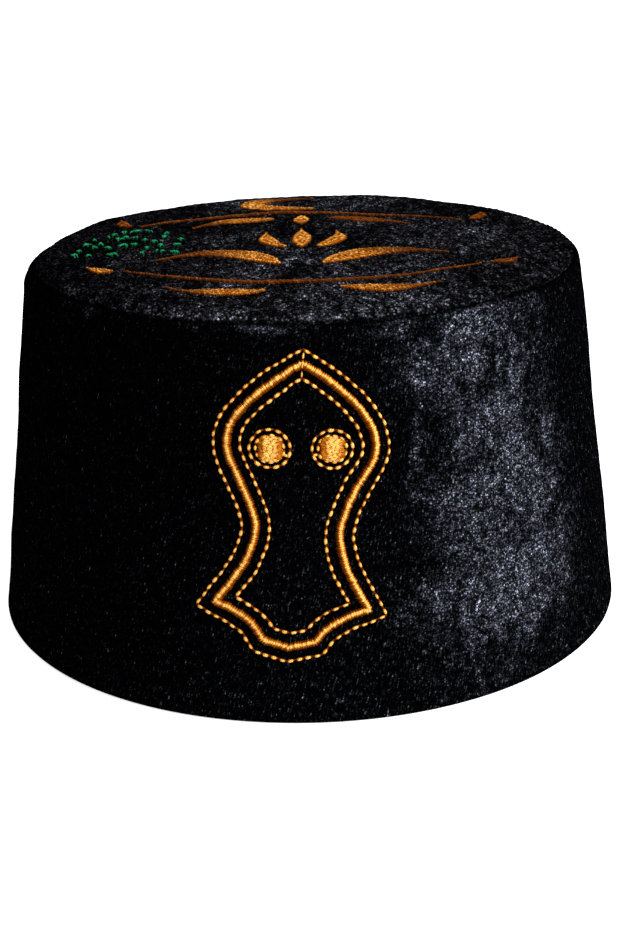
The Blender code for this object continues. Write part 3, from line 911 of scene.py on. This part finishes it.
def leaf_stitches(name, node, spine, width, widest, turning, finish, slant=0.5):
    """Rows of short stitches across a leaf, slanted forwards, each row broken at its own places."""
    total = lengths(spine)[-1]
    count = max(6, round(total / LEAF_PITCH))
    share = (np.arange(count) + 0.5) / count
    distances = share * total
    middle = along_line(spine, distances)
    way = along_line(spine, np.minimum(distances + 0.0005, total))
    way = way - along_line(spine, np.maximum(distances - 0.0005, 0))
    way = way / np.linalg.norm(way, axis=1, keepdims=True)
    swelling = np.sin(np.minimum(share / widest, 1) * math.pi / 2) ** 0.75
    half = swelling * np.cos(np.maximum(share - widest, 0) / (1 - widest) * math.pi / 2) ** 1.7
    half = 0.5 * width * half + 0.00015
    half = half + chance.normal(0, 0.00012, count)
    # Past the turning the stitches take the gold thread's painted shade colour, a rust brown, some at random
    # either way.
    turned_share = np.clip((share - turning[0]) / (turning[1] - turning[0]), 0, 1)
    lefts, rights, tones = [], [], []
    for here, ahead, reach, turned_here in zip(middle, way, half, turned_share):
        aside = np.array([-ahead[1], ahead[0]]) - ahead * slant
        pieces = max(1, round(2 * reach / LEAF_STITCH))
        cuts = np.linspace(-reach, reach, pieces + 1)
        cuts[1:-1] += chance.uniform(-0.4, 0.4, pieces - 1) * LEAF_STITCH
        for start, end in zip(cuts, cuts[1:]):
            lefts.append(here + aside * start)
            rights.append(here + aside * end)
            tones.append(np.clip(turned_here + chance.normal(0, 0.15), 0, 1))
    made = satin_stitches(
        name, np.array(lefts), np.array(rights), np.full(len(lefts), LEAF_RISE), on_crown, np.array(tones),
        finish, LEAF_THREAD, steps=7, edge=0.60, mixed=0.55,
    )
    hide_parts(node)
    return made


def crescent_spine(steps=80):
    turn = CRESCENT_OPENING + (math.tau - 2 * CRESCENT_OPENING) * np.linspace(0, 1, steps + 1)
    round_ = np.stack([np.cos(turn), np.sin(turn)], axis=-1)
    return np.array(CRESCENT_CENTRE) + np.array(CRESCENT_REACH) * round_


def dotted_half_round(finish):
    """Green knots in rising half-rounds at the crown's left, each knot a few short crossing stitches."""
    lefts, rights = [], []
    for radius, dots in ((0.0150, 13), (0.0105, 9), (0.0055, 5)):
        for dot in circle((-0.0515, -0.010), radius, 2.1, 0.0, math.pi, dots):
            here = dot + chance.normal(0, 0.0011, 2)
            size = chance.uniform(0.6, 1.3)
            for _ in range(chance.integers(3, 7)):
                turn = chance.uniform(0, math.pi)
                reach = size * chance.uniform(0.0006, 0.0011) * np.array([math.cos(turn), math.sin(turn)])
                shift = chance.normal(0, 0.0004, 2) * size
                lefts.append(here + shift - reach)
                rights.append(here + shift + reach)
    count = len(lefts)
    return satin_stitches(
        "green_knots", np.array(lefts), np.array(rights), np.full(count, 0.0006), on_crown,
        chance.uniform(0, 0.3, count), finish, 0.00062, edge=0.6,
    )


# The scene.


def embroider():
    gold = thread("gold_thread", GOLD, GOLD_IN_SHADE)
    green = thread("green_thread", GREEN, GREEN)
    limbs = sandal_limbs()
    made = [
        sandal_cord(gold),
        sandal_padding(gold),
        running_stitches("outer_run", limbs_beside(limbs, OUTER_LINE), RUN_PITCH, on_side, gold),
        running_stitches("inner_run", limbs_beside(limbs, INNER_LINE), RUN_PITCH, on_side, gold),
    ]
    top = np.array([[0.0004, SANDAL_HEIGHT + 0.0032], [0.0, SANDAL_HEIGHT], [-0.0002, SANDAL_HEIGHT - 0.0045]])
    made.append(running_stitches("top_jump", [top], 0.0028, on_side, gold, 0.0005, 0.0010))
    for side, where in ((-1, "left"), (1, "right")):
        centre = np.array([side * EYELET_APART / 2, EYELET_UP + side * EYELET_LEVEL])
        ring, rim = ([circle(centre, radius, EYELET_STRETCH)] for radius in (EYELET_RING, EYELET_EDGE))
        made.append(eyelet(f"eyelet_{where}_fill", f"eyelet_{where}", centre, gold))
        made.append(running_stitches(f"eyelet_{where}_ring", ring, 0.0024, on_side, gold))
        jump = centre + np.array([[-side * 0.0034, -0.0014], [-side * 0.0052, -0.0017]])
        made.append(running_stitches(f"eyelet_{where}_jump", [jump], 0.0018, on_side, gold, 0.0008))
        made.append(running_stitches(f"eyelet_{where}_edge", rim, 0.0020, on_side, gold, 0.0008))
    made.append(leaf_stitches(
        "crescent_stitches", "crescent", crescent_spine()[::-1], CRESCENT_WIDTH, 0.5, (0.55, 0.75), gold,
        slant=0.2,
    ))
    for node, points, width, widest, turning in CROWN_LEAVES:
        made.append(leaf_stitches(f"{node}_stitches", node, bent_spine(*points), width, widest, turning, gold))
    knots = dotted_half_round(green)
    return made + [knots]


def cap_velvet():
    backing = lining_cloth("black_backing")
    side = side_shell(velvet("side_pile", False), backing)
    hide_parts("side_band")
    top = crown_shell(velvet("crown_pile", True), backing)
    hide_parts("crown")
    return [side, top]


def floor():
    turn = np.arange(48) * math.tau / 48
    points = 60 * np.stack([np.cos(turn), np.sin(turn), 0 * turn], axis=-1)
    add_mesh("floor", points, [list(range(48))], [floor_paint()])


def soft_light(name, where, aim, size, power):
    lamp = bpy.data.lights.new(name, "AREA")
    lamp.shape = "SQUARE"
    lamp.size = size
    lamp.energy = power
    obj = bpy.data.objects.new(name, lamp)
    bpy.context.scene.collection.objects.link(obj)
    point_at(obj, where, aim)


def point_at(obj, where, aim):
    obj.location = where
    obj.rotation_euler = (Vector(aim) - Vector(where)).to_track_quat("-Z", "Y").to_euler()


def studio():
    world = bpy.data.worlds.new("studio")
    world.use_nodes = True
    world.node_tree.nodes["Background"].inputs["Color"].default_value = (1, 1, 1, 1)
    world.node_tree.nodes["Background"].inputs["Strength"].default_value = 0.25
    bpy.context.scene.world = world
    soft_light("key_light", (1.1, -0.75, 0.95), (0, 0, 0.06), 0.7, 60)
    soft_light("top_light", (0.0, 0.4, 2.2), (0, 0, 0), 2.4, 35)
    bpy.context.scene.view_settings.view_transform = "Standard"


def camera():
    lens = bpy.data.cameras.new("camera")
    lens.lens = 63.96
    lens.sensor_width = 36
    obj = bpy.data.objects.new("camera", lens)
    bpy.context.scene.collection.objects.link(obj)
    turn = Matrix.Rotation(-0.0020, 4, "Z") @ Matrix.Rotation(math.pi / 2 - 0.3572, 4, "X")
    obj.matrix_world = Matrix.Translation((0.0, -0.4813, 0.2178)) @ turn @ Matrix.Rotation(-0.0233, 4, "Z")
    bpy.context.scene.camera = obj


camera()
for piece in cap_velvet() + embroider():
    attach(piece, "root")
floor()
studio()
